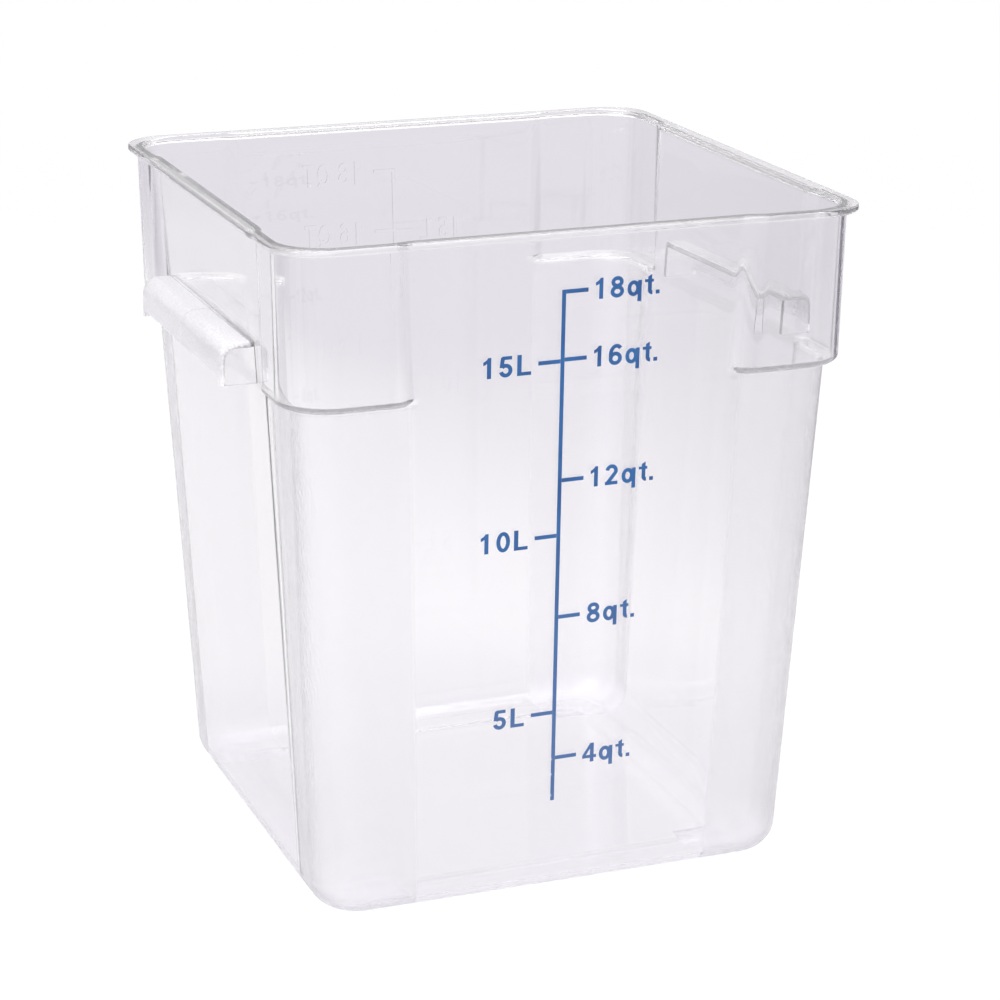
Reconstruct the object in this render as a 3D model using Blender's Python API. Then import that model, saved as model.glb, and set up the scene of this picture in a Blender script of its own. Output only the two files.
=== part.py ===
"""Square food storage container: a clear moulded tub with a volume scale printed on its front.

Metres, +Z up. The origin is the middle of the base, on the surface that the tub stands on.
The front, with the scale, faces -Y, and the two handles are on the -X and +X sides.
"""
import math
from collections import namedtuple

import bmesh
import bpy

# Driving sizes of the moulding
HEIGHT = 0.3206
RIM_WIDTH = 0.278
BASE_WIDTH = 0.2342
WALL = 0.0028

# Lip round the mouth, turned outwards from the collar
LIP_OVERHANG = 0.0033
LIP_THICKNESS = 0.003
LIP_CORNER_RADIUS = 0.022
LIP_EDGE_RADIUS = 0.0012
LIP_ROOT_RADIUS = 0.001

# Collar, the upright band under the lip at the four corners
COLLAR_HEIGHT = 0.076
COLLAR_DRAFT = 0.0011
COLLAR_CORNER_RADIUS = 0.0245
COLLAR_EDGE_RADIUS = 0.0036

# Ledge under the collar, where the body draws in at the corners
LEDGE_DEPTH = 0.0067
LEDGE_ROOT_RADIUS = 0.002
LEDGE_SLOPE_ANGLE = math.radians(72)

# Body corners, and the foot that the tub stands on
BODY_CORNER_RADIUS = 0.018
FOOT_CORNER_RADIUS = 0.024
FOOT_FILLET = 0.014
RECESS_DEPTH = 0.0012
RECESS_MARGIN = 0.0275
RECESS_CORNER_RADIUS = 0.008

# Flat panel in the middle of each face, one plane from lip to foot
PANEL_SET_BACK = 0.002
PANEL_NARROWING = 0.007
FRONT_PANEL_WIDTH = 0.155
FRONT_PANEL_BLEND = 0.011
SIDE_PANEL_WIDTH = 0.168
SIDE_PANEL_BLEND = 0.006

# Handles on the two sides, hollow and open underneath
HANDLE_SPREAD = 0.2936
HANDLE_LENGTH = 0.139
HANDLE_TOP_DROP = 0.055
HANDLE_DEPTH = 0.019
HANDLE_WALL = 0.0026
HANDLE_NOSE_RADIUS = 0.008
HANDLE_END_RADIUS = 0.0015
FINGER_ARCH_RISE = 0.0034
FINGER_ARCH_EASE = 0.012
CUT_OVERRUN = 0.002

# Printed scale on the front panel: its marks' heights are shares of the tub's height, and the
# whole print sits turned by a third of a degree, from the middle of the panel's foot
QUART_MARK_SHARES = {18: 0.9129, 16: 0.816, 12: 0.6401, 8: 0.4346, 4: 0.2155}
LITRE_MARK_SHARES = {15: 0.8142, 10: 0.5584, 5: 0.2877}
LINE_FOOT_SHARE = 0.1481
LINE_OFFSET = -0.0067
PRINT_LEAN = math.radians(0.36)
INK_WIDTH = 0.0019
TICK_LENGTH = 0.0105
INK_THICKNESS = 0.0003
INK_CLEARANCE = 0.0003

# Fineness of the curved stretches, in steps
FILLET_STEPS = 6
ROOT_STEPS = 3
EDGE_STEPS = 4
LIP_STEPS = 2
CORNER_STEPS = 7
BLEND_STEPS = 4
NOSE_STEPS = 6
ARCH_STEPS = 5

# Levels that follow from the sizes above
LEDGE_HEIGHT = HEIGHT - COLLAR_HEIGHT
HANDLE_TOP = HEIGHT - HANDLE_TOP_DROP
HANDLE_FOOT = HANDLE_TOP - HANDLE_DEPTH
COLLAR_HALF_TOP = RIM_WIDTH / 2 - LIP_OVERHANG
COLLAR_HALF_FOOT = COLLAR_HALF_TOP - COLLAR_DRAFT
BODY_HALF_TOP = COLLAR_HALF_FOOT - LEDGE_DEPTH
PANEL_HALF_TOP = COLLAR_HALF_TOP - PANEL_SET_BACK
PANEL_SLOPE = (PANEL_HALF_TOP - BASE_WIDTH / 2) / HEIGHT
BODY_SLOPE = (BODY_HALF_TOP - BASE_WIDTH / 2) / LEDGE_HEIGHT

# One level of the wall: its height, the half width of its corner zones and of its
# panels, and its corner radius
Level = namedtuple("Level", "z corner_half panel_half radius")


def clear_scene():
    """Removes what the scene holds, so that the model is alone in it."""
    for item in list(bpy.context.scene.objects):
        bpy.data.objects.remove(item, do_unlink=True)


def make_collection(name):
    """A new collection, linked to the scene."""
    group = bpy.data.collections.new(name)
    bpy.context.scene.collection.children.link(group)
    return group


def make_material(name, colour, roughness, transmission=0.0):
    """A Principled BSDF with the piece's own colour and finish."""
    material = bpy.data.materials.new(name)
    material.use_nodes = True
    shader = material.node_tree.nodes["Principled BSDF"]
    shader.inputs["Base Color"].default_value = (*colour, 1.0)
    shader.inputs["Roughness"].default_value = roughness
    shader.inputs["Metallic"].default_value = 0.0
    shader.inputs["Transmission Weight"].default_value = transmission
    return material


def add_object(name, build, group, material=None):
    """An object from a finished bmesh, shaded smooth with its sharp edges kept."""
    mesh = bpy.data.meshes.new(name)
    build.to_mesh(mesh)
    build.free()
    mesh.shade_smooth()
    mesh.set_sharp_from_angle(angle=math.radians(35))
    if material:
        mesh.materials.append(material)
    item = bpy.data.objects.new(name, mesh)
    group.objects.link(item)
    return item


def ease(share):
    """Eases a share from 0 to 1 with level ends."""
    share = min(max(share, 0.0), 1.0)
    return share * share * (3 - 2 * share)


def turns(angle, steps):
    """The angles of an arc, from zero to its whole turn."""
    return [angle * step / steps for step in range(steps + 1)]


def panel_half(z):
    """Half width across two opposite panels at a height."""
    return BASE_WIDTH / 2 + PANEL_SLOPE * z


def body_half(z):
    """Half width across the body's corner zones at a height below the ledge."""
    return BASE_WIDTH / 2 + BODY_SLOPE * z


def wall_levels(inset):
    """Levels of one side of the wall, from the foot up to the collar's top.

    The outer side has an inset of zero. The inner one lies a wall inside it, so its curves
    have the same centres.
    """
    levels = []
    for turn in turns(math.pi / 2, FILLET_STEPS):
        draw_in = FOOT_FILLET - (FOOT_FILLET - inset) * math.sin(turn)
        z = FOOT_FILLET - (FOOT_FILLET - inset) * math.cos(turn)
        levels.append(Level(z, body_half(FOOT_FILLET) - draw_in, panel_half(FOOT_FILLET) - draw_in,
                            FOOT_CORNER_RADIUS - draw_in))

    # The ledge: out of the body on a small root curve, up a slope, and round the collar's
    # bottom edge
    spread = 1 - math.cos(LEDGE_SLOPE_ANGLE)
    slope_reach = LEDGE_DEPTH - (LEDGE_ROOT_RADIUS + COLLAR_EDGE_RADIUS) * spread
    slope_rise = slope_reach / math.tan(LEDGE_SLOPE_ANGLE)
    curve_rise = (LEDGE_ROOT_RADIUS + COLLAR_EDGE_RADIUS) * math.sin(LEDGE_SLOPE_ANGLE)
    edge_height = LEDGE_HEIGHT + curve_rise + slope_rise
    root_radius = LEDGE_ROOT_RADIUS + inset
    edge_radius = COLLAR_EDGE_RADIUS - inset
    ledge = []
    for turn in turns(LEDGE_SLOPE_ANGLE, ROOT_STEPS):
        half = BODY_HALF_TOP + LEDGE_ROOT_RADIUS - root_radius * math.cos(turn)
        ledge.append((LEDGE_HEIGHT + root_radius * math.sin(turn), half))
    for turn in reversed(turns(LEDGE_SLOPE_ANGLE, EDGE_STEPS)):
        half = COLLAR_HALF_FOOT - COLLAR_EDGE_RADIUS + edge_radius * math.cos(turn)
        ledge.append((edge_height - edge_radius * math.sin(turn), half))
    for z, half in ledge:
        share = (half + inset - BODY_HALF_TOP) / LEDGE_DEPTH
        radius = BODY_CORNER_RADIUS + (COLLAR_CORNER_RADIUS - BODY_CORNER_RADIUS) * share
        levels.append(Level(z, half, panel_half(z) - inset, radius - inset))
    return levels


def foot_levels(lift):
    """Levels across the base to its middle, under the foot or, lifted by a wall, on the floor."""
    inner = BASE_WIDTH / 2 - RECESS_MARGIN
    edge = inner + RECESS_DEPTH
    return [Level(lift + RECESS_DEPTH, inner, inner, RECESS_CORNER_RADIUS),
            Level(lift, edge, edge, RECESS_CORNER_RADIUS)]


def lip_levels():
    """Levels round the lip, from its root under the collar's top over to the inside edge."""
    levels = []
    underside = HEIGHT - LIP_THICKNESS
    for turn in turns(math.pi / 2, LIP_STEPS):
        out = LIP_ROOT_RADIUS * (1 - math.cos(turn))
        z = underside - LIP_ROOT_RADIUS * (1 - math.sin(turn))
        levels.append(Level(z, COLLAR_HALF_TOP + out, panel_half(z) + out, COLLAR_CORNER_RADIUS + out))
    for height, side in ((underside + LIP_EDGE_RADIUS, -1), (HEIGHT - LIP_EDGE_RADIUS, 1)):
        arc = turns(math.pi / 2, LIP_STEPS)
        for turn in arc if side > 0 else reversed(arc):
            draw_in = LIP_EDGE_RADIUS * (1 - math.cos(turn))
            half = RIM_WIDTH / 2 - draw_in
            z = height + side * LIP_EDGE_RADIUS * math.sin(turn)
            levels.append(Level(z, half, half, LIP_CORNER_RADIUS - draw_in))
    for turn in turns(math.pi / 2, LIP_STEPS):
        inset = WALL - LIP_EDGE_RADIUS * (1 - math.sin(turn))
        z = HEIGHT - LIP_EDGE_RADIUS * (1 - math.cos(turn))
        levels.append(Level(z, COLLAR_HALF_TOP - inset, panel_half(z) - inset,
                            COLLAR_CORNER_RADIUS - inset))
    return levels


def face_stations(level, panel_width, blend):
    """Points from a panel's edge to the corner's curve: place along the face and half width."""
    curve_start = level.corner_half - level.radius
    outer = panel_width / 2 - PANEL_NARROWING * (1 - level.z / HEIGHT) + blend
    outer = min(outer, curve_start - blend / BLEND_STEPS)
    depth = level.corner_half - level.panel_half
    stations = []
    for step in range(BLEND_STEPS + 1):
        share = step / BLEND_STEPS
        stations.append((outer - blend * (1 - share), level.panel_half + depth * ease(share)))
    return stations


def quarter_ring(level):
    """The +X +Y quarter of a level, from the side panel round to the back one."""
    side = face_stations(level, SIDE_PANEL_WIDTH, SIDE_PANEL_BLEND)
    back = face_stations(level, FRONT_PANEL_WIDTH, FRONT_PANEL_BLEND)
    centre = level.corner_half - level.radius
    points = [(half, along) for along, half in side]
    for turn in turns(math.pi / 2, CORNER_STEPS):
        points.append((centre + level.radius * math.cos(turn), centre + level.radius * math.sin(turn)))
    return points + [(along, half) for along, half in reversed(back)]


def ring(level):
    """A whole level: the quarter mirrored into the other three."""
    quarter = quarter_ring(level)
    half = quarter + [(-x, y) for x, y in reversed(quarter)]
    whole = half + [(-x, -y) for x, y in half]
    return [(x, y, level.z) for x, y in whole]


def loft(levels):
    """A closed body through the levels, capped across its first and last ones."""
    build = bmesh.new()
    rings = [[build.verts.new(point) for point in ring(level)] for level in levels]
    build.faces.new(reversed(rings[0]))
    build.faces.new(rings[-1])
    for lower, upper in zip(rings, rings[1:]):
        for index in range(len(lower)):
            after = (index + 1) % len(lower)
            build.faces.new((lower[index], lower[after], upper[after], upper[index]))
    return build


def prism(outline, start, end, axis):
    """A flat outline pushed from start to end along X or Y."""
    build = bmesh.new()
    if axis == "X":
        corners = [(start, across, z) for across, z in outline]
        push = (end - start, 0.0, 0.0)
    else:
        corners = [(across, start, z) for across, z in outline]
        push = (0.0, end - start, 0.0)
    face = build.faces.new([build.verts.new(corner) for corner in corners])
    moved = bmesh.ops.extrude_face_region(build, geom=[face])["geom"]
    bmesh.ops.translate(build, verts=[v for v in moved if isinstance(v, bmesh.types.BMVert)], vec=push)
    bmesh.ops.recalc_face_normals(build, faces=build.faces)
    return build


def add_guide(name, build, group):
    """A solid that only shapes another one, drawn as a wire and left out of renders."""
    guide = add_object(name, build, group)
    guide.hide_render = True
    guide.display_type = "WIRE"
    return guide


def combine(item, other, operation):
    """Joins another solid to an object, or cuts it away."""
    modifier = item.modifiers.new(f"{operation.lower()}_{other.name}", "BOOLEAN")
    modifier.operation = operation
    modifier.solver = "EXACT"
    modifier.object = other


def handle_outline(inset, root, foot):
    """Section of a handle: its level top, its rounded nose and its upright skirt."""
    outer = HANDLE_SPREAD / 2
    radius = HANDLE_NOSE_RADIUS - inset
    outline = [(root, foot), (root, HANDLE_TOP - inset)]
    for turn in turns(math.pi / 2, NOSE_STEPS):
        outline.append((outer - HANDLE_NOSE_RADIUS + radius * math.sin(turn),
                        HANDLE_TOP - HANDLE_NOSE_RADIUS + radius * math.cos(turn)))
    return outline + [(outer - inset, foot)]


def handle_body(root):
    """Solid form of the +X handle, its end edges rounded where they show."""
    end = HANDLE_LENGTH / 2
    build = prism(handle_outline(0.0, root, HANDLE_FOOT), -end, end, "Y")
    shown = []
    for edge in build.edges:
        low, high = (vert.co for vert in edge.verts)
        at_one_end = abs(low.y - high.y) < CUT_OVERRUN
        at_root = max(low.x, high.x) < root + CUT_OVERRUN
        underneath = max(low.z, high.z) < HANDLE_FOOT + CUT_OVERRUN
        if at_one_end and not at_root and not underneath:
            shown.append(edge)
    bmesh.ops.bevel(build, geom=shown, offset=HANDLE_END_RADIUS, segments=2, profile=0.5,
                    affect="EDGES")
    return build


def finger_arch():
    """Outline of the arch cut in the skirt's bottom edge, level in the middle."""
    end = HANDLE_LENGTH / 2 - HANDLE_WALL
    crown = []
    for step in range(ARCH_STEPS + 1):
        share = step / ARCH_STEPS
        crown.append((end - FINGER_ARCH_EASE * share, HANDLE_FOOT + FINGER_ARCH_RISE * ease(share)))
    crown += [(-y, z) for y, z in reversed(crown)]
    low = HANDLE_FOOT - CUT_OVERRUN
    return [(end, low)] + crown + [(-end, low)]


def make_handles(guides):
    """The two hollow handles, as guides that the tub is then joined to."""
    root = panel_half(HANDLE_FOOT) - WALL / 2
    outer = HANDLE_SPREAD / 2
    pocket_end = HANDLE_LENGTH / 2 - HANDLE_WALL
    pocket_outline = handle_outline(HANDLE_WALL, root - CUT_OVERRUN, HANDLE_FOOT - CUT_OVERRUN)
    pocket = add_guide("handle_pocket", prism(pocket_outline, -pocket_end, pocket_end, "Y"), guides)
    skirt_inside = outer - HANDLE_WALL - CUT_OVERRUN
    arch = add_guide("handle_arch", prism(finger_arch(), skirt_inside, outer + CUT_OVERRUN, "X"), guides)
    handle = add_guide("handle_right_form", handle_body(root), guides)
    combine(handle, pocket, "DIFFERENCE")
    combine(handle, arch, "DIFFERENCE")
    bpy.context.view_layer.update()
    shaped = bpy.data.meshes.new_from_object(handle.evaluated_get(bpy.context.evaluated_depsgraph_get()))
    left = bpy.data.objects.new("handle_left_form", shaped)
    guides.objects.link(left)
    left.rotation_euler.z = math.pi
    left.hide_render = True
    left.display_type = "WIRE"
    return handle, left


def make_tub(parts, guides):
    """The tub: one moulded wall with its lip, collar, panels, foot and both handles."""
    clear = make_material("clear_polycarbonate", (0.93, 0.93, 0.96), 0.08, transmission=1.0)
    outside = foot_levels(0.0) + wall_levels(0.0)
    inside = foot_levels(WALL) + wall_levels(WALL)
    tub = add_object("tub", loft(outside + lip_levels() + inside[::-1]), parts, clear)
    for handle in make_handles(guides):
        combine(tub, handle, "UNION")


def add_bar(name, left, right, lower, upper, parts, material):
    """A printed bar, its edges measured up and across the print from the foot of the panel.

    It is turned with the print on the panel, then tilted with the panel.
    """
    tilt = math.atan(PANEL_SLOPE)
    build = bmesh.new()
    bmesh.ops.create_cube(build, size=1.0)
    bmesh.ops.scale(build, verts=build.verts, vec=(right - left, INK_THICKNESS, upper - lower))
    bmesh.ops.translate(build, verts=build.verts, vec=((left + right) / 2, 0.0, (lower + upper) / 2))
    bar = add_object(name, build, parts, material)
    bar.rotation_mode = "YXZ"
    bar.rotation_euler = (tilt, -PRINT_LEAN, 0.0)
    bar.location.y = -panel_half(0.0) - (INK_CLEARANCE + INK_THICKNESS / 2) / math.cos(tilt)


def make_scale(parts):
    """The blue print: an upright line, quart ticks to its right and litre ticks to its left."""
    ink = make_material("blue_ink", (0.045, 0.17, 0.5), 0.45)
    print_height = HEIGHT / math.cos(math.atan(PANEL_SLOPE))
    line_left = LINE_OFFSET - INK_WIDTH / 2
    line_right = LINE_OFFSET + INK_WIDTH / 2
    top = max(QUART_MARK_SHARES.values()) * print_height + INK_WIDTH / 2
    add_bar("scale_line", line_left, line_right, LINE_FOOT_SHARE * print_height, top, parts, ink)

    quart_left = line_right + INK_CLEARANCE
    litre_left = line_left - INK_CLEARANCE - TICK_LENGTH
    sides = (("quart", quart_left, QUART_MARK_SHARES), ("litre", litre_left, LITRE_MARK_SHARES))
    for unit, left, shares in sides:
        for count, share in shares.items():
            lower = share * print_height - INK_WIDTH / 2
            add_bar(f"{unit}_tick_{count}", left, left + TICK_LENGTH, lower, lower + INK_WIDTH, parts, ink)


def main():
    clear_scene()
    parts = make_collection("food_storage_container")
    guides = make_collection("guides")
    make_tub(parts, guides)
    make_scale(parts)


main()
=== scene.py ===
"""Looks of the square food storage container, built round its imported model.

The tub is one clear polycarbonate moulding, and the scale on its front is blue ink.
"""

import math
from collections import namedtuple

import bmesh
import bpy
from mathutils import Matrix, Vector
from mathutils.geometry import delaunay_2d_cdt


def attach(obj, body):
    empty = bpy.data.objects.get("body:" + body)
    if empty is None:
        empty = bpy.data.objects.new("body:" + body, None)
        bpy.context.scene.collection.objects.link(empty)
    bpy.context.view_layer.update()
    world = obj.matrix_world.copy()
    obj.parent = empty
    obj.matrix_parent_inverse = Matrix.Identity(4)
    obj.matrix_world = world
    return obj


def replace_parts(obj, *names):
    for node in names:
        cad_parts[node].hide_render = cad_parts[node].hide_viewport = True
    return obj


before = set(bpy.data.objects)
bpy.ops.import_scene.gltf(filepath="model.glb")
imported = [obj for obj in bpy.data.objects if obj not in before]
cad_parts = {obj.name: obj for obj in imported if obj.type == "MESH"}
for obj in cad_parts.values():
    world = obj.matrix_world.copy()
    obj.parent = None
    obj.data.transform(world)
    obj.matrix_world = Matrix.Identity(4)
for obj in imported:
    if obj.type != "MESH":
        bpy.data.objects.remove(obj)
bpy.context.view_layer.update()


# Tub wall.
# The real piece is one injection moulding in clear polycarbonate: four flat panels between
# rounded corners, which step out over a ledge into a collar, and a lip turned outwards.

tub_height = 0.3206
wall = 0.0028
base_half = 0.1171
base_radius = 0.024
foot_fillet = 0.014
recess_half = 0.0855
recess_edge = 0.009
recess_depth = 0.0009
panel_slope = 0.05178
side_panel_width = 0.162
front_panel_width = 0.152
foot_taper = 0.007
blend_width = 0.014
body_half_top = 0.1279
body_radius = 0.018
ledge_height = 0.2446
ledge_slope = math.radians(72)
ledge_root = 0.0016
ledge_edge = 0.003
collar_half_foot = 0.1346
collar_half_top = 0.1357
collar_radius = 0.0245
lip_half = 0.139
lip_radius = 0.022
lip_thickness = 0.003
lip_root = 0.001
lip_edge = 0.0009
radius_step = 0.0001
level_gap = 0.002
brace = 0.0004
inner_shift = 0.0032
shift_rise = 0.004

# A level has its height, half its width at its corner zones and at its panels, and its corners'
# radius. A spare level or place, a brace away from each rounded edge, keeps the flat faces flat.
Level = namedtuple("Level", "z corner panel radius")

# The inner blends are shifted against the outer ones. Each corner has its shares of the shift:
# on its front or back face, and on its side face, in the body and in the collar.
Corner = namedtuple("Corner", "across along face body collar")
shift_shares = (
    Corner(1, 1, 1.0, -0.3, 0.6),
    Corner(-1, 1, 1.0, -1.2, -1.2),
    Corner(-1, -1, 0.3, 0.0, 1.0),
    Corner(1, -1, 1.0, -0.3, -0.6),
)


def ease(share):
    """Eases a share from 0 to 1 with level ends."""
    return share ** 3 * (10 - 15 * share + 6 * share * share)


def rise(value, start, span):
    """How far a value has come along a span, eased, from 0 before it to 1 after it."""
    return ease(min(1.0, max(0.0, (value - start) / span)))


def turns(angle, steps):
    """The angles of an arc, from zero to its whole turn."""
    return [angle * step / steps for step in range(steps + 1)]


def panel_half(z):
    """Half width across two opposite panels at a height."""
    return base_half + panel_slope * z


def body_half(z):
    """Half width across the corner zones at a height below the ledge."""
    return base_half + (body_half_top - base_half) * z / ledge_height


def wall_side(inset):
    """Levels of the wall's outer side, or of its inner one at an inset, from foot to collar."""
    levels = []
    for turn in turns(math.pi / 2, 12):
        draw_in = foot_fillet - (foot_fillet - inset) * math.sin(turn)
        z = foot_fillet - (foot_fillet - inset) * math.cos(turn)
        levels.append(Level(z, body_half(foot_fillet) - draw_in, panel_half(foot_fillet) - draw_in,
                            base_radius - draw_in))
    for z, radius in ((foot_fillet + level_gap, base_radius - radius_step),
                      (ledge_height - level_gap, body_radius + radius_step)):
        levels.append(Level(z, body_half(z) - inset, panel_half(z) - inset, radius - inset))
    depth = collar_half_foot - body_half_top
    reach = depth - (ledge_root + ledge_edge) * (1 - math.cos(ledge_slope))
    edge_height = (ledge_height + (ledge_root + ledge_edge) * math.sin(ledge_slope)
                   + reach / math.tan(ledge_slope))
    ledge = []
    for turn in turns(ledge_slope, 6):
        ledge.append((ledge_height + (ledge_root + inset) * math.sin(turn),
                      body_half_top + ledge_root - (ledge_root + inset) * math.cos(turn)))
    for turn in reversed(turns(ledge_slope, 8)):
        ledge.append((edge_height - (ledge_edge - inset) * math.sin(turn),
                      collar_half_foot - ledge_edge + (ledge_edge - inset) * math.cos(turn)))
    for z, half in ledge:
        share = (half + inset - body_half_top) / depth
        radius = body_radius + (collar_radius - body_radius) * share
        levels.append(Level(z, half, panel_half(z) - inset, radius - inset))
    z = edge_height + level_gap
    levels.append(Level(z, collar_half_foot - inset, panel_half(z) - inset, collar_radius - inset))
    return levels


def foot_side(lift):
    """Levels from the middle of the base to its foot ring, over the soft edge of the recess."""
    steps = 8
    levels = []
    for step in range(steps + 1):
        half = recess_half + recess_edge * step / steps
        levels.append(Level(lift + recess_depth * (1 - ease(step / steps)), half, half, recess_edge))
    return levels


def lip_levels():
    """Levels round the lip: out from under the collar's top, over its edge and down inside."""
    levels = []
    under = tub_height - lip_thickness
    for turn in turns(math.pi / 2, 4):
        out = lip_root * (1 - math.cos(turn))
        z = under - lip_root * (1 - math.sin(turn))
        levels.append(Level(z, collar_half_top + out, panel_half(z) + out, collar_radius + out))
    flat_half = lip_half - lip_edge - brace
    flat_radius = lip_radius - lip_edge - brace
    levels.append(Level(under, flat_half, flat_half, flat_radius))
    over_edge = [(under + lip_edge, -1, turn) for turn in reversed(turns(math.pi / 2, 5))]
    over_edge += [(tub_height - lip_edge, 1, turn) for turn in turns(math.pi / 2, 5)]
    for middle, side, turn in over_edge:
        draw_in = lip_edge * (1 - math.cos(turn))
        z = middle + side * lip_edge * math.sin(turn)
        levels.append(Level(z, lip_half - draw_in, lip_half - draw_in, lip_radius - draw_in))
    levels.append(Level(tub_height, flat_half, flat_half, flat_radius))
    down_inside = [(wall - lip_edge - brace, tub_height)]
    for turn in turns(math.pi / 2, 5):
        down_inside.append((wall - lip_edge * (1 - math.sin(turn)),
                            tub_height - lip_edge * (1 - math.cos(turn))))
    for inset, z in down_inside:
        levels.append(Level(z, collar_half_top - inset, panel_half(z) - inset, collar_radius - inset))
    return levels


def stations(level, width, shift):
    """Places along a face and half widths there, from its panel's edge to its corner's curve."""
    steps = 14
    taper = foot_taper * (1 - level.z / tub_height)
    outer = min(width / 2 - taper + blend_width - shift, level.corner - level.radius - brace)
    places = [(outer - blend_width - level_gap, level.panel)]
    for step in range(steps + 1):
        share = step / steps
        half = level.panel + (level.corner - level.panel) * ease(share)
        places.append((outer - blend_width * (1 - share), half))
    return places


def quarter_ring(level, face_shift, side_shift):
    """A quarter of a level, from the side panel round to the back one."""
    centre = level.corner - level.radius
    quarter = [(half, along) for along, half in stations(level, side_panel_width, side_shift)]
    for turn in turns(math.pi / 2, 16):
        quarter.append((centre + level.radius * math.cos(turn), centre + level.radius * math.sin(turn)))
    return quarter + list(reversed(stations(level, front_panel_width, face_shift)))


def ring(level, shift):
    """A whole level of four quarters, with each corner's share of the shift in its blends."""
    in_collar = rise(level.z, ledge_height, shift_rise)
    points = []
    for corner in shift_shares:
        side_shift = shift * (corner.body + (corner.collar - corner.body) * in_collar)
        quarter = [(x * corner.across, y * corner.along, level.z)
                   for x, y in quarter_ring(level, shift * corner.face, side_shift)]
        points += quarter if corner.across == corner.along else quarter[::-1]
    return points


def smooth(mesh):
    """Shades a mesh smooth but for its sharp edges."""
    mesh.shade_smooth()
    mesh.set_sharp_from_angle(angle=math.radians(35))
    return mesh


def solid(name, build):
    """An object from a finished bmesh."""
    mesh = bpy.data.meshes.new(name)
    build.to_mesh(mesh)
    build.free()
    item = bpy.data.objects.new(name, smooth(mesh))
    bpy.context.scene.collection.objects.link(item)
    return item


def fuse(item, other, operation):
    """Joins another solid to an object, or cuts it away, and removes the other one."""
    modifier = item.modifiers.new(operation, "BOOLEAN")
    modifier.operation = operation
    modifier.solver = "EXACT"
    modifier.object = other
    bpy.context.view_layer.update()
    shaped = bpy.data.meshes.new_from_object(item.evaluated_get(bpy.context.evaluated_depsgraph_get()))
    item.modifiers.clear()
    item.data = smooth(shaped)
    bpy.data.objects.remove(other)


rings = [(level, 0.0) for level in foot_side(0.0) + wall_side(0.0) + lip_levels()]
rings += [(level, inner_shift) for level in reversed(foot_side(wall) + wall_side(wall))]
build = bmesh.new()
loops = [[build.verts.new(point) for point in ring(level, shift)] for level, shift in rings]
build.faces.new(reversed(loops[0]))
build.faces.new(loops[-1])
for lower, upper in zip(loops, loops[1:]):
    for index in range(len(lower)):
        after = (index + 1) % len(lower)
        build.faces.new((lower[index], lower[after], upper[after], upper[index]))
tub = solid("moulded_tub", build)


# Handles.
# Two hollow grips moulded with the wall: a level top that rolls over a round nose into an
# upright skirt, thin end walls, and an arch underneath where the fingers go in.

handle_half = 0.0695
handle_top = 0.2656
handle_foot = 0.2466
handle_reach = 0.1468
handle_nose = 0.008
handle_wall = 0.0026
handle_edge = 0.0018
arch_rise = 0.0032
arch_run = 0.004
arch_depth = 0.005
joint_span = (0.0014, 0.0020)
joint_depth = 0.0003
joint_overrun = 0.001
overrun = 0.002


def grip_outline(inset, root, foot):
    """Section of a grip: its level top, its rounded nose and its upright skirt."""
    outline = [(root, foot), (root, handle_top - inset)]
    for turn in turns(math.pi / 2, 12):
        outline.append((handle_reach - handle_nose + (handle_nose - inset) * math.sin(turn),
                        handle_top - handle_nose + (handle_nose - inset) * math.cos(turn)))
    return outline + [(handle_reach - inset, foot)]


def pushed(outline, span, way):
    """An upright outline, pushed along X or Y from the start of a span to its end."""
    start, end = span
    build = bmesh.new()
    if way == "Y":
        corners = [(x, start, z) for x, z in outline]
        push = (0.0, end - start, 0.0)
    else:
        corners = [(start, y, z) for y, z in outline]
        push = (end - start, 0.0, 0.0)
    face = build.faces.new([build.verts.new(corner) for corner in corners])
    moved = bmesh.ops.extrude_face_region(build, geom=[face])["geom"]
    bmesh.ops.translate(build, verts=[v for v in moved if isinstance(v, bmesh.types.BMVert)], vec=push)
    bmesh.ops.recalc_face_normals(build, faces=build.faces)
    return build


root = panel_half(handle_foot) - wall / 2
below = handle_foot - overrun
build = pushed(grip_outline(0.0, root, handle_foot), (-handle_half, handle_half), "Y")
shown = []
for seam in build.edges:
    low, high = (vert.co for vert in seam.verts)
    lengthwise = abs(low.y - high.y) > overrun
    hidden = max(low.x, high.x) < root + overrun or max(low.z, high.z) < handle_foot + overrun
    if not lengthwise and not hidden:
        shown.append(seam)
bmesh.ops.bevel(build, geom=shown, offset=handle_edge, segments=4, profile=0.5, affect="EDGES")
grip = solid("grip", build)
inner_half = handle_half - handle_wall
pocket = pushed(grip_outline(handle_wall, root - overrun, below), (-inner_half, inner_half), "Y")
fuse(grip, solid("pocket", pocket), "DIFFERENCE")
arch_steps = 10
crown = [(inner_half, below)]
for step in range(arch_steps + 1):
    share = step / arch_steps
    crown.append((inner_half - arch_run * share, handle_foot + arch_rise * ease(share)))
crown += [(-y, z) for y, z in reversed(crown)]
arch = pushed(crown, (handle_reach - arch_depth, handle_reach + overrun), "X")
fuse(grip, solid("arch", arch), "DIFFERENCE")
band = grip_outline(-joint_overrun, root, below)[1:] + grip_outline(joint_depth, root, below)[:0:-1]
fuse(grip, solid("joint", pushed(band, joint_span, "Y")), "DIFFERENCE")
other = bpy.data.objects.new("other_grip", grip.data.copy())
bpy.context.scene.collection.objects.link(other)
other.rotation_euler.z = math.pi
fuse(tub, grip, "UNION")
fuse(tub, other, "UNION")


# Raised scale on the back.
# Cut into the mould, so it stands half a millimetre proud of the back panel, and less below
# the upper marks: an upright line, ticks, and plain numbers with their units.

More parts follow.
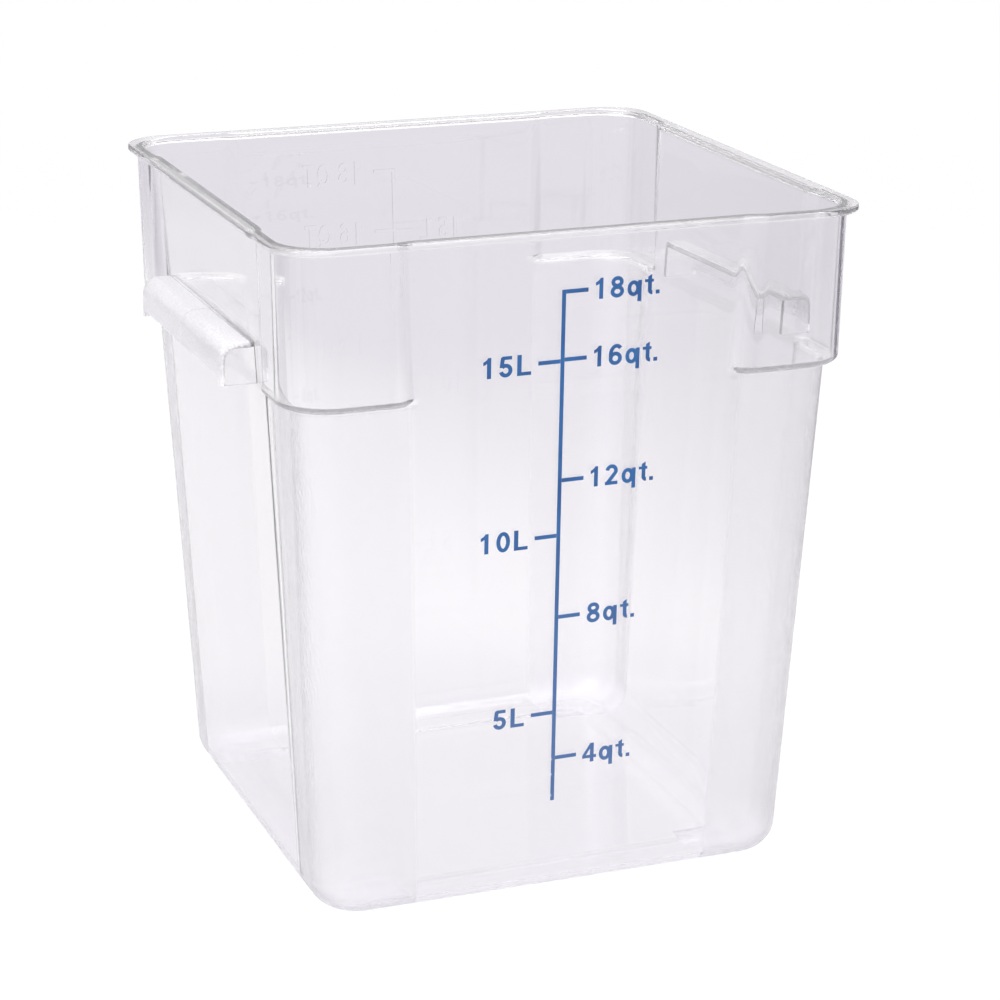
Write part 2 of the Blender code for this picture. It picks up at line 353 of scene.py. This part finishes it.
Glyph = namedtuple("Glyph", "advance strokes blocks")
raised_line = -0.0029
raised_line_foot = 0.048
raised_line_top = 0.2971
raised_half = 0.0008
raised_tick_right = 0.0078
raised_tick_left = -0.0127
raised_quarts = ((0.2963, "18 QT"), (0.2652, "16 QT"), (0.2088, "12 QT"), (0.1429, "8 QT"),
                 (0.0727, "4 QT"))
raised_litres = ((0.2646, "15 L"), (0.1826, "10 L"), (0.0958, "5 L"))
raised_letter = (0.0115, 0.0086, 0.15)
raised_drop = 0.006
raised_quart_left = 0.015
raised_litre_left = -0.0385
raised_short_litre_left = -0.031
proud = 0.0005
sunk = 0.0004
lower_loss = 0.00035
lower_top = 0.22
lower_fade = 0.03


def arc(x, y, across, up, start, end):
    """Points of an oval arc round a centre, between two angles in degrees."""
    steps = max(4, round(abs(end - start) / 12))
    angles = [math.radians(start + (end - start) * step / steps) for step in range(steps + 1)]
    return [(x + across * math.cos(angle), y + up * math.sin(angle)) for angle in angles]


def block(left, low, right, high):
    """Corners of an upright oblong."""
    return [(left, low), (right, low), (right, high), (left, high)]


# The signs are drawn in a height of 1, with pen strokes along paths and with filled blocks.
glyphs = {
    "0": Glyph(0.82, [arc(0.32, 0.5, 0.225, 0.415, 0, 360)], []),
    "1": Glyph(0.72, [], [[(0.0, 0.64), (0.1, 0.68), (0.17, 0.73), (0.17, 0.0), (0.36, 0.0), (0.36, 1.0),
                           (0.22, 1.0), (0.17, 0.92), (0.09, 0.85), (0.0, 0.81)]]),
    "2": Glyph(0.82, [arc(0.315, 0.69, 0.215, 0.225, 172, -28) + [(0.12, 0.1)]],
               [block(0.0, 0.0, 0.62, 0.17), [(0.0, 0.0), (0.17, 0.05), (0.2, 0.2), (0.05, 0.17)]]),
    "4": Glyph(0.82, [], [block(-0.03, 0.21, 0.68, 0.37), block(0.36, 0.0, 0.55, 1.0),
                          [(-0.03, 0.37), (0.15, 0.37), (0.55, 1.0), (0.37, 1.0)]]),
    "5": Glyph(0.82, [arc(0.3, 0.32, 0.215, 0.235, 140, -168), [(0.17, 0.95), (0.11, 0.46)]],
               [block(0.13, 0.83, 0.58, 1.0)]),
    "6": Glyph(0.82, [arc(0.325, 0.315, 0.23, 0.23, 0, 360), arc(0.375, 0.5, 0.28, 0.415, 45, 205)], []),
    "8": Glyph(0.82, [arc(0.325, 0.285, 0.235, 0.205, 0, 360),
                      arc(0.325, 0.735, 0.205, 0.18, 0, 360)], []),
    "L": Glyph(0.8, [], [block(0.0, 0.0, 0.2, 1.0), block(0.0, 0.0, 0.64, 0.17)]),
    "Q": Glyph(0.95, [arc(0.4, 0.5, 0.305, 0.415, 0, 360), [(0.45, 0.27), (0.76, -0.02)]], []),
    "T": Glyph(0.8, [], [block(0.0, 0.83, 0.72, 1.0), block(0.26, 0.0, 0.45, 1.0)]),
    "q": Glyph(0.885, [arc(0.3, 0.36, 0.21, 0.285, 0, 360)], [block(0.5, -0.28, 0.69, 0.73)]),
    "t": Glyph(0.5, [[(0.205, 0.3)] + arc(0.33, 0.21, 0.125, 0.125, 180, 275)],
               [block(-0.04, 0.59, 0.39, 0.73), [(0.11, 0.18), (0.3, 0.18), (0.3, 0.96), (0.11, 0.85)]]),
    ".": Glyph(0.3, [], [block(0.0, 0.0, 0.19, 0.19)]),
    " ": Glyph(0.35, [], []),
}


def stroke(path, weight):
    """Quads along a path, as a pen of a weight would draw it."""
    closed = math.dist(path[0], path[-1]) < 1e-6
    sides = []
    for index, (x, y) in enumerate(path):
        before = path[index - 1] if index else (path[-2] if closed else path[0])
        after = path[index + 1] if index + 1 < len(path) else (path[1] if closed else path[-1])
        run, climb = after[0] - before[0], after[1] - before[1]
        length = math.hypot(run, climb)
        run, climb = run / length * weight / 2, climb / length * weight / 2
        sides.append(((x - climb, y + run), (x + climb, y - run)))
    return [[near[1], far[1], far[0], near[0]] for near, far in zip(sides, sides[1:])]


def lettering(text, left, foot, letter):
    """The signs of a text, each a list of outlines. A letter has a height, a width and a weight."""
    height, width, weight = letter
    signs = []
    for sign in text:
        glyph = glyphs[sign]
        shapes = glyph.blocks + [quad for path in glyph.strokes for quad in stroke(path, weight)]
        signs.append([[(left + x * width, foot + y * height) for x, y in shape] for shape in shapes])
        left += glyph.advance * width
    return signs


def layer(name, signs, inner, outer):
    """Signs, each fused from its outlines, given a thickness between two depths, facing -Y."""
    build = bmesh.new()
    for outlines in signs:
        points = [Vector(point) * 1000 for shape in outlines for point in shape]
        areas = []
        for shape in outlines:
            first = sum(len(area) for area in areas)
            areas.append(list(range(first, first + len(shape))))
        spots, _, faces, _, _, sources = delaunay_2d_cdt(points, [], areas, 0, 1e-4)
        verts = [build.verts.new((spot.x / 1000, -outer, spot.y / 1000)) for spot in spots]
        for face, source in zip(faces, sources):
            if source:
                build.faces.new([verts[index] for index in face])
        bmesh.ops.delete(build, geom=[vert for vert in verts if not vert.link_faces], context="VERTS")
    moved = bmesh.ops.extrude_face_region(build, geom=list(build.faces))["geom"]
    bmesh.ops.translate(build, verts=[v for v in moved if isinstance(v, bmesh.types.BMVert)],
                        vec=(0.0, outer - inner, 0.0))
    bmesh.ops.recalc_face_normals(build, faces=build.faces)
    return solid(name, build)


def on_panel(lean):
    """The place of a layer on the front panel: turned by its lean, then tilted with the panel."""
    tilt = math.atan(panel_slope)
    return (Matrix.Translation((0.0, -base_half, 0.0)) @ Matrix.Rotation(tilt, 4, "X")
            @ Matrix.Rotation(-lean, 4, "Y"))


ruled = [block(raised_line - raised_half, raised_line_foot, raised_line + raised_half, raised_line_top)]
raised = [ruled]
for z, text in raised_quarts:
    ruled.append(block(raised_line, z - raised_half, raised_tick_right, z + raised_half))
    raised += lettering(text, raised_quart_left, z - raised_drop, raised_letter)
for z, text in raised_litres:
    ruled.append(block(raised_tick_left, z - raised_half, raised_line, z + raised_half))
    left = raised_litre_left if len(text) > 3 else raised_short_litre_left
    raised += lettering(text, left, z - raised_drop, raised_letter)
relief = layer("relief", raised, -sunk, proud)
for vert in relief.data.vertices:
    if vert.co.y < 0:
        vert.co.y += lower_loss * (1 - rise(vert.co.z, lower_top, lower_fade))
relief.matrix_world = Matrix.Rotation(math.pi, 4, "Z") @ on_panel(0.0)
fuse(tub, relief, "UNION")


# Clear plastic.
# The whole moulding is one clear polycarbonate. It came polished from the mould, but for the
# grained faces of its handles and, much weaker, its rounded corners below the ledge.


class Shade:
    """One value or colour in a material. Sums on it add Math nodes, and add() any other node."""

    def __init__(self, tree, socket=None):
        self.tree = tree
        self.socket = socket

    def add(self, kind, settings, inputs, output=0):
        """A node of a kind: its settings first, then the values or links of its sockets."""
        node = self.tree.nodes.new("ShaderNode" + kind)
        for name, value in settings.items():
            setattr(node, name, value)
        for name, value in inputs.items():
            if isinstance(value, Shade):
                self.tree.links.new(value.socket, node.inputs[name])
            else:
                node.inputs[name].default_value = value
        return Shade(self.tree, node.outputs[output] if len(node.outputs) else None)

    def maths(self, operation, other=0.0):
        """A Math node on this value and another one."""
        return self.add("Math", {"operation": operation}, {0: self, 1: other})

    def between(self, low, high):
        """The value's way from low to high, as a soft step from 0 to 1."""
        return self.add("MapRange", {"interpolation_type": "SMOOTHSTEP"},
                        {"Value": self, "From Min": low, "From Max": high})

    def mixed(self, colour, other):
        """A colour at 0 that turns into another one at 1."""
        return self.add("Mix", {"data_type": "RGBA"}, {0: self, 6: colour, 7: other}, 2)

    def __add__(self, other):
        return self.maths("ADD", other)

    def __sub__(self, other):
        return self.maths("SUBTRACT", other)

    def __rsub__(self, other):
        return self.add("Math", {"operation": "SUBTRACT"}, {0: other, 1: self})

    def __mul__(self, other):
        return self.maths("MULTIPLY", other)

    __radd__ = __add__
    __rmul__ = __mul__


def new_material(name):
    """An empty node material, and a start for its nodes."""
    material = bpy.data.materials.new(name)
    material.use_nodes = True
    material.node_tree.nodes.clear()
    return material, Shade(material.node_tree)


bend = 1.585
white = (1.0, 1.0, 1.0, 1.0)

clear, start = new_material("clear_polycarbonate")
place = start.add("TexCoord", {}, {}, "Object")
sideways = start.add("SeparateXYZ", {}, {0: place}, 0)
rearward = start.add("SeparateXYZ", {}, {0: place}, 1)
height = start.add("SeparateXYZ", {}, {0: place}, 2)
across = sideways.maths("ABSOLUTE")
along = rearward.maths("ABSOLUTE")

# The corners' grain starts past the panels' edges, which lie further out higher up.
panel_edge = height * 0.026 + 0.0712
corner = (across - panel_edge).between(0.0, 0.002) * (along - panel_edge - 0.007).between(0.0, 0.002)
grained = corner * (1 - height.between(0.2445, 0.2475))

# The handles' frost lies on their outer skin, from the end walls' faces to the panel.
nose_out = (across - handle_reach + handle_nose).maths("MAXIMUM")
nose_up = (height - handle_top + handle_nose).maths("MAXIMUM")
skin = (nose_out * nose_out + nose_up * nose_up).between(0.0055 ** 2, 0.0062 ** 2)
past_panel = (across - height * panel_slope).between(base_half + 0.001, base_half + 0.0025)
past_end = along.between(handle_half - 0.0002, handle_half + 0.0002)
past_foot = height.between(0.2445, 0.2455)
past_top = height.between(handle_top + 0.0006, handle_top + 0.0016)
frosted = skin * past_panel * (1 - past_end) * past_foot * (1 - past_top)

grain = start.add("TexNoise", {}, {"Vector": place, "Scale": 900.0, "Detail": 2.0})
flow = start.add("TexNoise", {}, {"Vector": place, "Scale": 14.0, "Detail": 1.0})
grain_depth = grain * (grained + frosted * 2.0)
fine = start.add("Bump", {}, {"Strength": 0.3, "Distance": 0.0004, "Height": grain_depth})
surface_way = start.add("Bump", {}, {"Strength": 0.05, "Distance": 0.002, "Height": flow, "Normal": fine})
polished = start.add("BsdfPrincipled", {}, {
    "Base Color": (0.999, 0.997, 1.0, 1.0),
    "Roughness": grained * 0.24 + frosted * 0.3,
    "IOR": bend,
    "Transmission Weight": 1.0,
    "Normal": surface_way,
})
frost = start.add("BsdfPrincipled", {}, {
    "Base Color": grain.between(0.42, 0.58).mixed((0.78, 0.77, 0.8, 1.0), (1.0, 0.995, 1.0, 1.0)),
    "Roughness": 0.5,
    "IOR": bend,
    "Transmission Weight": 0.3,
    "Normal": surface_way,
})

# Painted highlight: the frost is raised along the left handle's top, over its near half and at its
# near end, so it is whitest on the left handle's near half; on the right handle it is painted weaker
# and hardly shows.
painted_highlight_near_half = 0.26 - rearward.between(-0.05, 0.0) * 0.16
frost_with_painted_crest = height.between(handle_top - 0.006, handle_top - 0.001) * painted_highlight_near_half + 0.47
painted_highlight_near_end = (rearward * -1).between(handle_half - 0.012, handle_half - 0.001) * 0.3
# Painted light from the left: on the right handle the frost is cut to a fifth.
painted_light_on_left = 1 - sideways.between(0.0, 0.1) * 0.8
speckled = grain.between(0.4, 0.6) * 0.35 + 0.75
# Frost share with the painted highlight, plus the corners' weak grain.
frost_and_painted_highlight = frosted * (frost_with_painted_crest + painted_highlight_near_end) * painted_light_on_left * speckled + grained * 0.16
body = start.add("MixShader", {}, {0: frost_and_painted_highlight, 1: polished, 2: frost})

# A little light goes straight through, so that rays caught in the wall come out grey.
straight = start.add("BsdfTransparent", {}, {"Color": white})
in_lip = height.between(0.3165, 0.3175) * (1 - rearward.between(0.11, 0.13))
in_ledge = height.between(0.2435, 0.245) * (1 - height.between(0.2505, 0.252))
straight_share = in_lip * 0.13 + in_ledge * 0.07 + 0.05
softened = start.add("MixShader", {}, {0: straight_share, 1: body, 2: straight})
passing = start.add("BsdfTransparent", {}, {"Color": (0.9, 0.89, 0.93, 1.0)})
shadow_ray = start.add("LightPath", {}, {}, "Is Shadow Ray")
surface = start.add("MixShader", {}, {0: shadow_ray, 1: softened, 2: passing})
depth = start.add("VolumeAbsorption", {}, {"Color": (0.6, 0.56, 0.7, 1.0), "Density": 3.0})
start.add("OutputMaterial", {}, {"Surface": surface, "Volume": depth})
tub.data.materials.clear()
tub.data.materials.append(clear)
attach(tub, "root")
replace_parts(tub, "tub")


# Printed scale.
# Screen printed on the front panel in one pass of blue ink: an upright line, quart ticks on
# its right and litre ticks on its left. The whole print sits turned by a third of a degree.

print_lean = math.radians(0.36)
print_height = tub_height / math.cos(math.atan(panel_slope))
line_place = -0.0067
line_foot_share = 0.1481
ink_width = 0.0019
tick_length = 0.0105
tick_gap = 0.00005
film = (0.00001, 0.00005)
quart_shares = {18: 0.9129, 16: 0.816, 12: 0.6401, 8: 0.4346, 4: 0.2155}
litre_shares = {15: 0.8142, 10: 0.5584, 5: 0.2877}
notch_shares = (0.2135, 0.1895, 0.156)
notch_half = 0.0005
notch_depth = 0.0007

ink, start = new_material("blue_ink")
place = start.add("TexCoord", {}, {}, "Object")
cloud = start.add("TexNoise", {}, {"Vector": place, "Scale": 60.0, "Detail": 2.0})
speck = start.add("TexNoise", {}, {"Vector": place, "Scale": 700.0, "Detail": 1.0})
full = cloud.between(0.35, 0.65).mixed((0.008, 0.082, 0.265, 1.0), (0.014, 0.114, 0.335, 1.0))
upper = start.add("SeparateXYZ", {}, {0: place}, 2).between(0.06, 0.21)
bump = start.add("Bump", {}, {"Strength": 0.1, "Distance": 0.0001, "Height": speck})
dried = start.add("BsdfPrincipled", {}, {
    "Base Color": upper.mixed((0.062, 0.143, 0.34, 1.0), full),
    "Roughness": speck * 0.2 + 0.35,
    "Normal": bump,
})
start.add("OutputMaterial", {}, {"Surface": dried})


def printed(name, signs):
    """A print of the signs on the front panel."""
    item = layer(name, signs, *film)
    item.matrix_world = on_panel(print_lean)
    item.data.materials.append(ink)
    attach(item, "root")
    return item


line_left = line_place - ink_width / 2
line_right = line_place + ink_width / 2
line_foot = line_foot_share * print_height
line_top = quart_shares[18] * print_height + ink_width / 2
upright = [(line_right, line_foot), (line_right, line_top), (line_left, line_top)]
for share in notch_shares:
    notch = share * print_height
    upright += [(line_left, notch + notch_half), (line_left + notch_depth, notch),
                (line_left, notch - notch_half)]
upright.append((line_left, line_foot))
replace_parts(printed("print_line", [[upright]]), "scale_line")
for count, share in quart_shares.items():
    mark = share * print_height
    tick = block(line_right + tick_gap, mark - ink_width / 2,
                 line_right + tick_length, mark + ink_width / 2)
    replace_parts(printed(f"print_tick_{count}_quarts", [[tick]]), f"quart_tick_{count}")
for count, share in litre_shares.items():
    mark = share * print_height
    tick = block(line_left - tick_length, mark - ink_width / 2,
                 line_left - tick_gap, mark + ink_width / 2)
    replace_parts(printed(f"print_tick_{count}_litres", [[tick]]), f"litre_tick_{count}")


# Printed numerals.
# Plain bold numbers with their units beside each tick, in the same blue ink and pass. The
# litre numerals are set a little wider than the quart ones.

letter_height = 0.0096
quart_letter = (letter_height, 0.0098, 0.185)
litre_letter = (letter_height, 0.0103, 0.185)
quart_gap = 0.0149
litre_gap = 0.0372
short_litre_gap = 0.0299

for count, share in quart_shares.items():
    foot = share * print_height - letter_height / 2
    printed(f"print_{count}_quarts", lettering(f"{count}qt.", line_place + quart_gap, foot, quart_letter))
for count, share in litre_shares.items():
    foot = share * print_height - letter_height / 2
    left = line_place - (litre_gap if count > 9 else short_litre_gap)
    printed(f"print_{count}_litres", lettering(f"{count}L", left, foot, litre_letter))


# Floor.
# A wide sheet of studio paper, plain white to the camera. Through the clear walls it shows painted
# shade: a painted shadow in pale grey under the tub, a painted pool of light, white round it and
# grey further off, and painted dark patches that draw the edges.

floor_radius = 8.0
painted_sector_edge = math.radians(6)

build = bmesh.new()
bmesh.ops.create_circle(build, cap_ends=True, radius=floor_radius, segments=96)
floor = solid("floor", build)
paper, start = new_material("floor_paper")
camera_ray = start.add("LightPath", {}, {}, "Is Camera Ray")
glossy_ray = start.add("LightPath", {}, {}, "Is Glossy Ray")
passing_ray = start.add("LightPath", {}, {}, "Is Transmission Ray")
place = start.add("NewGeometry", {}, {}, "Position")
reach = start.add("VectorMath", {"operation": "LENGTH"}, {0: place}, "Value")
rightward = start.add("SeparateXYZ", {}, {0: place}, 0)
bearing = rightward.maths("ARCTAN2", start.add("SeparateXYZ", {}, {0: place}, 1))
off_ahead = bearing.maths("ABSOLUTE")


def painted_dark_sector(way, low, high):
    """A painted dark patch on the paper between two bearings in degrees, with soft edges."""
    low, high = math.radians(low), math.radians(high)
    return way.between(low, low + painted_sector_edge) * (1 - way.between(high - painted_sector_edge, high))


# Painted dark patches at two bearings, which the clear walls refract and reflect as dark lines.
painted_dark_patches = (painted_dark_sector(bearing, 56, 76) + painted_dark_sector(bearing * -1, 50, 85) * 0.55) * reach.between(0.4, 0.7)
# Painted pool of light: the paper greys away from a bright point at the back left and away from the tub,
# and less so at the sides.
from_painted_light_pool = start.add("VectorMath", {"operation": "DISTANCE"},
                             {0: place, 1: (-0.35, 0.75, 0.0)}, "Value")
painted_pool_by_bearing = 1 - off_ahead.between(math.radians(75), math.radians(105)) * 0.6
far = from_painted_light_pool.between(0.38, 0.62) * reach.between(0.2, 1.0) * painted_pool_by_bearing
# Painted shadow: pale grey under the tub, turning white round it.
near = reach.between(0.12, 0.28).mixed((0.885, 0.865, 0.915, 1.0), (0.995, 0.98, 1.0, 1.0))
tone = far.mixed(near, (0.755, 0.73, 0.785, 1.0))
shaded = painted_dark_patches.mixed(tone, (0.04, 0.03, 0.06, 1.0))
# To the camera the paper glows plain white; to glossy and transmission rays it glows with the painted
# shadow, pool of light and dark patches.
glow = start.add("Emission", {}, {"Color": camera_ray.mixed(shaded, white), "Strength": 1.0})
matte = start.add("BsdfDiffuse", {}, {"Color": (0.9, 0.9, 0.9, 1.0)})
direct = camera_ray * (reach.between(0.5, 2.0) * 0.2 + 0.8)
seen = direct.maths("MAXIMUM", glossy_ray.maths("MAXIMUM", passing_ray))
sheet = start.add("MixShader", {}, {0: seen, 1: matte, 2: glow})
start.add("OutputMaterial", {}, {"Surface": sheet})
floor.data.materials.append(paper)


# Studio.
# Pale surroundings with a dimmer ring high up and a dimmer band low down, a large soft lamp
# overhead and a smaller one from the left.

lamps = (("overhead", (0.0, 0.2, 1.6), 1.8, 18.0), ("side", (-1.4, -0.9, 1.2), 0.9, 11.0))
lamp_aim = Vector((0.0, 0.0, 0.16))

world = bpy.data.worlds.new("studio")
bpy.context.scene.world = world
world.use_nodes = True
world.node_tree.nodes.clear()
start = Shade(world.node_tree)
camera_ray = start.add("LightPath", {}, {}, "Is Camera Ray")
diffuse_ray = start.add("LightPath", {}, {}, "Is Diffuse Ray")
upward = start.add("SeparateXYZ", {}, {0: start.add("TexCoord", {}, {}, "Generated")}, 2)
low_band = upward.between(0.02, 0.1) * (1 - upward.between(0.22, 0.34))
ring_tone = 1 - upward.between(0.45, 0.65) * 0.4 - low_band * 0.15
tone = ring_tone.maths("MAXIMUM", upward.between(0.8, 0.9))
plain = camera_ray.maths("MAXIMUM", diffuse_ray * 0.6)
surroundings = start.add("Background", {}, {
    "Color": camera_ray.mixed((1.0, 0.985, 1.0, 1.0), white),
    "Strength": tone.maths("MAXIMUM", plain),
})
start.add("OutputWorld", {}, {"Surface": surroundings})

for name, spot, size, power in lamps:
    lamp = bpy.data.lights.new(name, "AREA")
    lamp.size = size
    lamp.energy = power
    holder = bpy.data.objects.new(name, lamp)
    bpy.context.scene.collection.objects.link(holder)
    holder.location = spot
    holder.rotation_euler = (Vector(spot) - lamp_aim).to_track_quat("Z", "Y").to_euler()


# Camera.
# A long lens from the front left, a little above the tub, turned as in the photograph.

yaw, pitch, roll = 0.36406, -0.30683, 0.00334
camera_place = Vector((-0.48612, -1.30790, 0.59935))
ahead = Vector((math.sin(yaw) * math.cos(pitch), math.cos(yaw) * math.cos(pitch), math.sin(pitch)))
level_right = Vector((math.cos(yaw), -math.sin(yaw), 0.0))
level_up = level_right.cross(ahead)
right = level_right * math.cos(roll) + level_up * math.sin(roll)
up = level_up * math.cos(roll) - level_right * math.sin(roll)
lens = bpy.data.cameras.new("camera")
lens.lens = 107.64
lens.sensor_width = 36.0
camera = bpy.data.objects.new("camera", lens)
bpy.context.scene.collection.objects.link(camera)
camera.matrix_world = Matrix.Translation(camera_place) @ Matrix((right, up, -ahead)).transposed().to_4x4()
bpy.context.scene.camera = camera
bpy.context.scene.view_settings.view_transform = "Standard"
